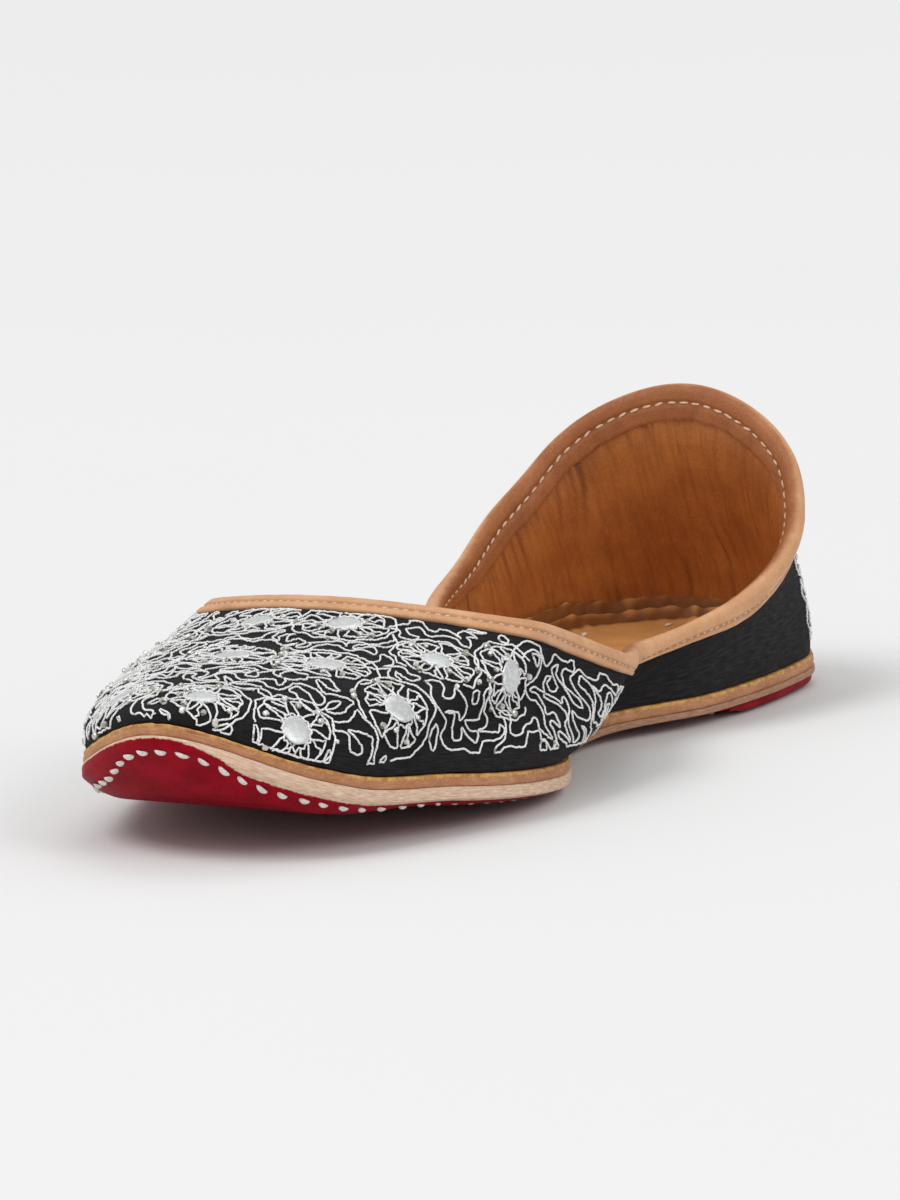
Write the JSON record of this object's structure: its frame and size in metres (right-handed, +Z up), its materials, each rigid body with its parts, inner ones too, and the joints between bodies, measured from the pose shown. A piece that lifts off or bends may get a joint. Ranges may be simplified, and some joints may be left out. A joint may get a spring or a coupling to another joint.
{
  "type": "flat shoe",
  "caption": "Slip-on flat shoe with a low open collar, an embroidered fabric upper, leather binding and lining, and a red leather sole that curls up at the toe.",
  "frame": {"origin": "centre of the shoe's bounding box in plan, on the plane it stands on", "axes": "+Z up, toe towards -Y, heel towards +Y, width along X"},
  "size_m": [0.082, 0.252, 0.0587],
  "materials": {
    "outsole": "pale cut edge, red painted underside, satin",
    "heel_lift": "red paint, satin",
    "rand": "tan, cut edge, matt",
    "insole": "tan, smooth",
    "upper": "black slub fabric with silver thread embroidery, tan leather lining inside",
    "topline_binding": "light tan, soft, stitched"
  },
  "bodies": {
    "root": {"outsole": "outsole", "heel_lift": "heel_lift", "rand": "rand", "insole": "insole", "upper": "upper", "topline_binding": "topline_binding"}
  },
  "joints": []
}
